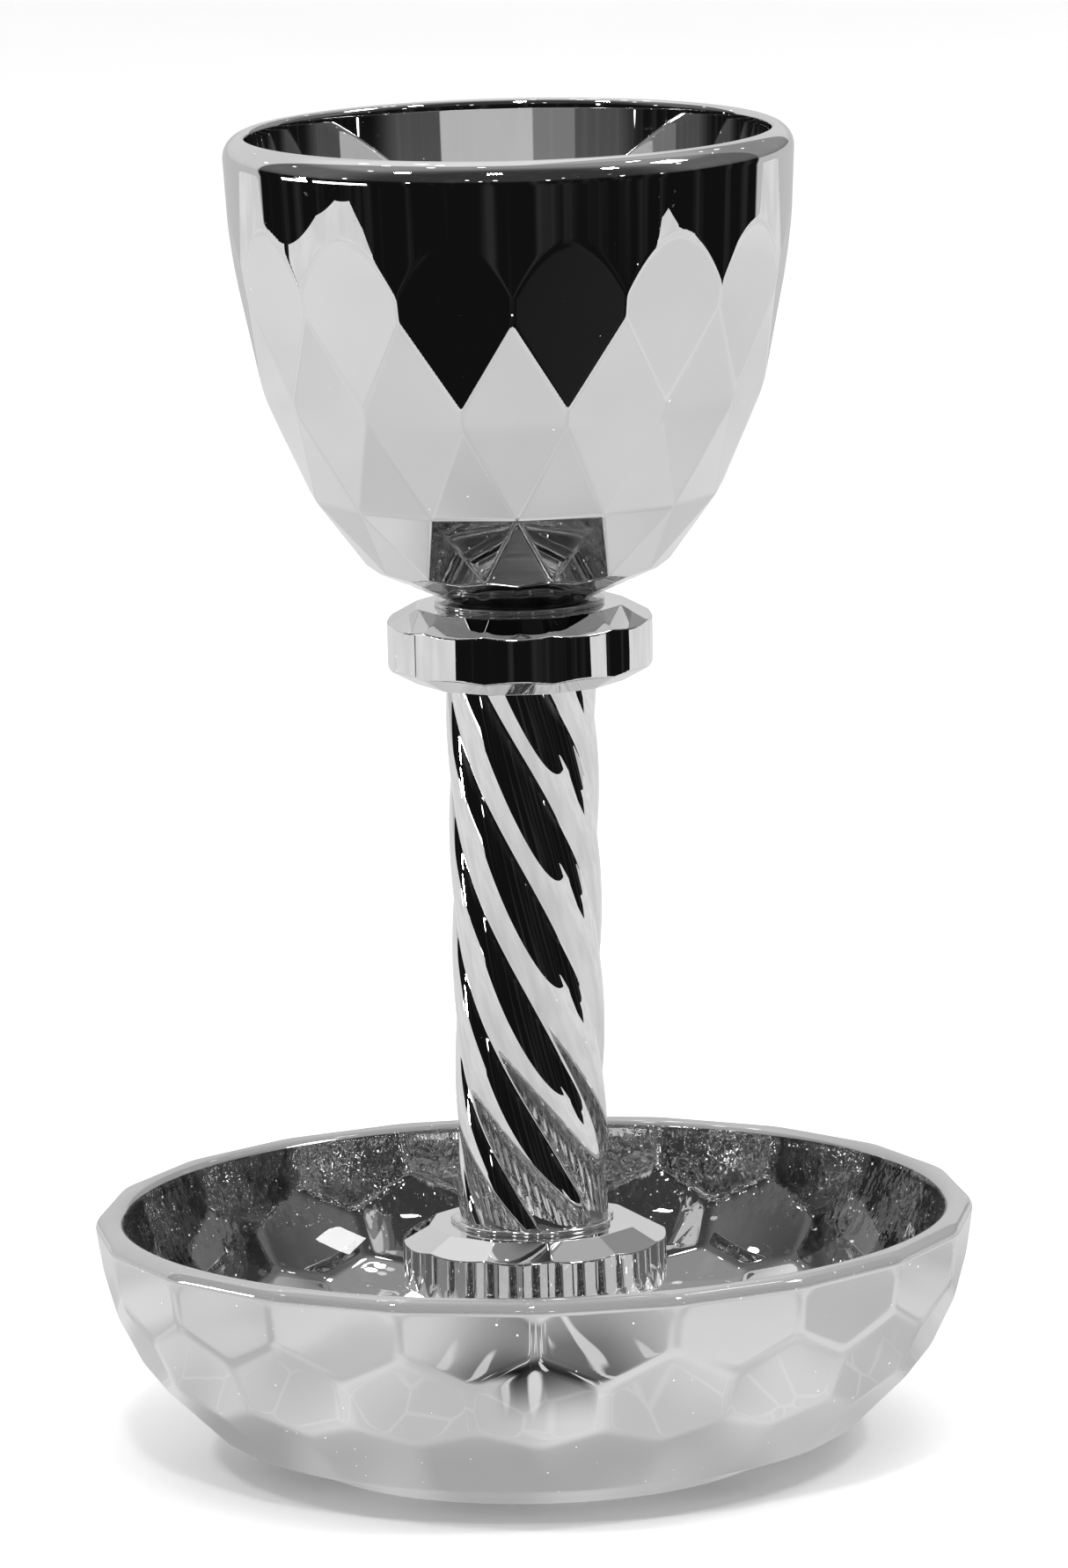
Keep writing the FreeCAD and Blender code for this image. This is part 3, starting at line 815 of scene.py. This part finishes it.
def make_world():
    """Even light for the eye and the floor, and a dark room for reflections."""
    world = bpy.data.worlds.new("room")
    bpy.context.scene.world = world
    world.use_nodes = True
    tree = world.node_tree
    tree.nodes.clear()

    def add(kind, **values):
        node = tree.nodes.new(kind)
        for key, value in values.items():
            setattr(node, key, value)
        return node

    def compute(operation, first, second=0.0, third=0.0):
        """One sum on numbers or sockets."""
        node = add("ShaderNodeMath", operation=operation)
        for socket, value in zip(node.inputs, (first, second, third)):
            if isinstance(value, (int, float)):
                socket.default_value = value
            else:
                tree.links.new(value, socket)
        return node.outputs[0]

    def step(value, low, high):
        """Smooth step from 0 at low to 1 at high."""
        node = add("ShaderNodeMapRange", interpolation_type="SMOOTHSTEP")
        node.inputs["From Min"].default_value = low
        node.inputs["From Max"].default_value = high
        tree.links.new(value, node.inputs["Value"])
        return node.outputs["Result"]

    place = add("ShaderNodeTexCoord").outputs["Generated"]
    split = add("ShaderNodeSeparateXYZ")
    tree.links.new(place, split.inputs[0])
    x, y, z = split.outputs
    # Bright wall and ceiling behind the object, dimmer to the right above the table.
    level_way = compute("SQRT", compute(
        "ADD", compute("MULTIPLY", x, x), compute("MULTIPLY", y, y)))
    forward = compute("DIVIDE", y, level_way)
    right = compute("DIVIDE", x, level_way)
    behind = compute("MULTIPLY", step(forward, 0.49, 0.52), step(y, 0.08, 0.14))
    shaded = compute("MULTIPLY", step(right, 0.36, 0.39), step(z, 0.02, 0.04))
    above_ground = step(z, -0.25, -0.2)
    wall = compute("MULTIPLY", compute("MULTIPLY", behind, above_ground),
                   compute("MULTIPLY_ADD", shaded, -WALL_SHADE, 1.0))
    # Dim room with faint upright stripes, lighter at the sides and overhead.
    stripes = add("ShaderNodeTexNoise")
    stripes.inputs["Scale"].default_value = 9.0
    flat = add("ShaderNodeMapping")
    flat.inputs["Scale"].default_value = (1.0, 1.0, 0.15)
    tree.links.new(place, flat.inputs["Vector"])
    tree.links.new(flat.outputs["Vector"], stripes.inputs["Vector"])
    glow = compute("MULTIPLY_ADD", step(stripes.outputs["Fac"], 0.5, 0.75),
                   STRIPE_GLOW, ROOM_GLOW)
    glow = compute("MULTIPLY_ADD", step(z, 0.05, 0.25), ABOVE_TABLE_GLOW, glow)
    beside = compute("MULTIPLY", step(y, -0.6, -0.1), step(z, 0.02, 0.1))
    glow = compute("MULTIPLY_ADD", beside, BESIDE_GLOW, glow)
    overhead = compute("MULTIPLY", step(y, -0.45, -0.05), step(z, 0.6, 0.8))
    glow = compute("MULTIPLY_ADD", overhead, OVERHEAD_GLOW, glow)
    # Small round lamps, low down in front and high up at the sides and behind.
    lights = add("ShaderNodeTexVoronoi")
    lights.inputs["Scale"].default_value = LAMP_PLACES
    tree.links.new(place, lights.inputs["Vector"])
    dot = compute("SUBTRACT", 1.0, step(lights.outputs["Distance"], 0.14, 0.24))
    chosen = add("ShaderNodeSeparateColor")
    tree.links.new(lights.outputs["Color"], chosen.inputs[0])
    to_side = step(forward, -0.35, -0.25)
    low = compute("SUBTRACT", step(z, 0.03, 0.06), step(z, 0.33, 0.37))
    low = compute("MULTIPLY", low, compute("SUBTRACT", 1.0, to_side))
    high = compute("MULTIPLY", to_side, step(z, 0.28, 0.32))
    dot = compute("MULTIPLY", dot, compute("ADD", low, high))
    dot = compute("MULTIPLY", dot, step(chosen.outputs[0], LAMPS_DARK, LAMPS_DARK + 0.01))
    level = compute("ADD", compute("MULTIPLY_ADD", wall, WALL_GLOW, glow),
                    compute("MULTIPLY", dot, LAMP_GLOW))
    room = add("ShaderNodeBackground")
    tree.links.new(level, room.inputs["Strength"])
    eye = add("ShaderNodeBackground")
    eye.inputs["Strength"].default_value = EYE_LIGHT
    path = add("ShaderNodeLightPath")
    direct = compute("MAXIMUM", path.outputs["Is Camera Ray"], path.outputs["Is Diffuse Ray"])
    mix = add("ShaderNodeMixShader")
    tree.links.new(direct, mix.inputs[0])
    tree.links.new(room.outputs[0], mix.inputs[1])
    tree.links.new(eye.outputs[0], mix.inputs[2])
    out = add("ShaderNodeOutputWorld")
    tree.links.new(mix.outputs[0], out.inputs["Surface"])


make_world()


# Height on the axis that every lamp faces, in metres.
LAMP_TARGET = 0.1
NEAR = 1.8
FAR = 3.0


def lamp(name, azimuth, elevation, distance, width, power, tall=None):
    """Flat lamp that faces the middle of the object; tall is its height if not square."""
    data = bpy.data.lights.new(name, "AREA")
    data.shape = "RECTANGLE"
    data.size = width
    data.size_y = tall or width
    data.energy = power
    made = bpy.data.objects.new(name, data)
    bpy.context.scene.collection.objects.link(made)
    turn = math.radians(azimuth)
    rise = math.radians(elevation)
    target = Vector((0.0, 0.0, LAMP_TARGET))
    away = Vector((math.sin(turn) * math.cos(rise), -math.cos(turn) * math.cos(rise),
                   math.sin(rise)))
    made.location = target + away * distance
    made.rotation_mode = "QUATERNION"
    made.rotation_quaternion = away.to_track_quat("Z", "Y")
    return made


# Ceiling lamps in front, which make the round lights on the two rims.
for name, azimuth, elevation in (
        ("lamp_left", -55.0, 50.0), ("lamp_middle", -7.0, 50.0), ("lamp_right", 52.0, 50.0)):
    lamp(name, azimuth, elevation, NEAR, width=0.14, power=6.5)
# A pair of spots at the left, which make the double lights down the stem.
for name, azimuth, elevation in (("spot_low", -92.0, -3.6), ("spot_high", -90.0, 1.5)):
    lamp(name, azimuth, elevation, NEAR, width=0.11, power=2.2)
# Strips beyond the table and lower than its top, which the cup's lip sees over its edge.
lamp("strip_side", -96.0, -6.9, FAR, width=0.8, power=3.0, tall=0.14)
lamp("strip_front", -72.0, -6.9, FAR, width=1.4, power=4.0, tall=0.16)
lamp("panel_right", 88.0, 48.0, NEAR, width=0.3, power=5.0)
# Soft light from above for the matt parts only.
soft = lamp("lamp_soft", 20.0, 70.0, 2.0, width=1.2, power=14.0)
soft.visible_glossy = False
soft.visible_transmission = False


# --- Camera ----------------------------------------------------------------

CAMERA_PLACE = (0.0, -1.560, 0.379)
CAMERA_LOOKS_AT = (0.0, 0.0, 0.101)
CAMERA_LENS = 247.9
CAMERA_ROLL = -1.4
# Shares of the picture's long side.
SHIFT_RIGHT = 0.006734
SHIFT_UP = -0.003928


def make_camera():
    """Long lens in front of the object and a little above it."""
    data = bpy.data.cameras.new("camera")
    data.lens = CAMERA_LENS
    data.sensor_width = 36.0
    data.shift_x = SHIFT_RIGHT
    data.shift_y = SHIFT_UP
    data.clip_start = 0.1
    data.clip_end = 60.0
    made = bpy.data.objects.new("camera", data)
    bpy.context.scene.collection.objects.link(made)
    made.location = CAMERA_PLACE
    look = Vector(CAMERA_LOOKS_AT) - made.location
    made.rotation_mode = "QUATERNION"
    roll = Quaternion((0.0, 0.0, 1.0), math.radians(CAMERA_ROLL))
    made.rotation_quaternion = look.to_track_quat("-Z", "Y") @ roll
    bpy.context.scene.camera = made


make_camera()
scene = bpy.context.scene
scene.view_settings.view_transform = "Standard"
scene.cycles.max_bounces = 20
scene.cycles.glossy_bounces = 14
scene.cycles.transmission_bounces = 14
scene.cycles.sample_clamp_indirect = 8.0
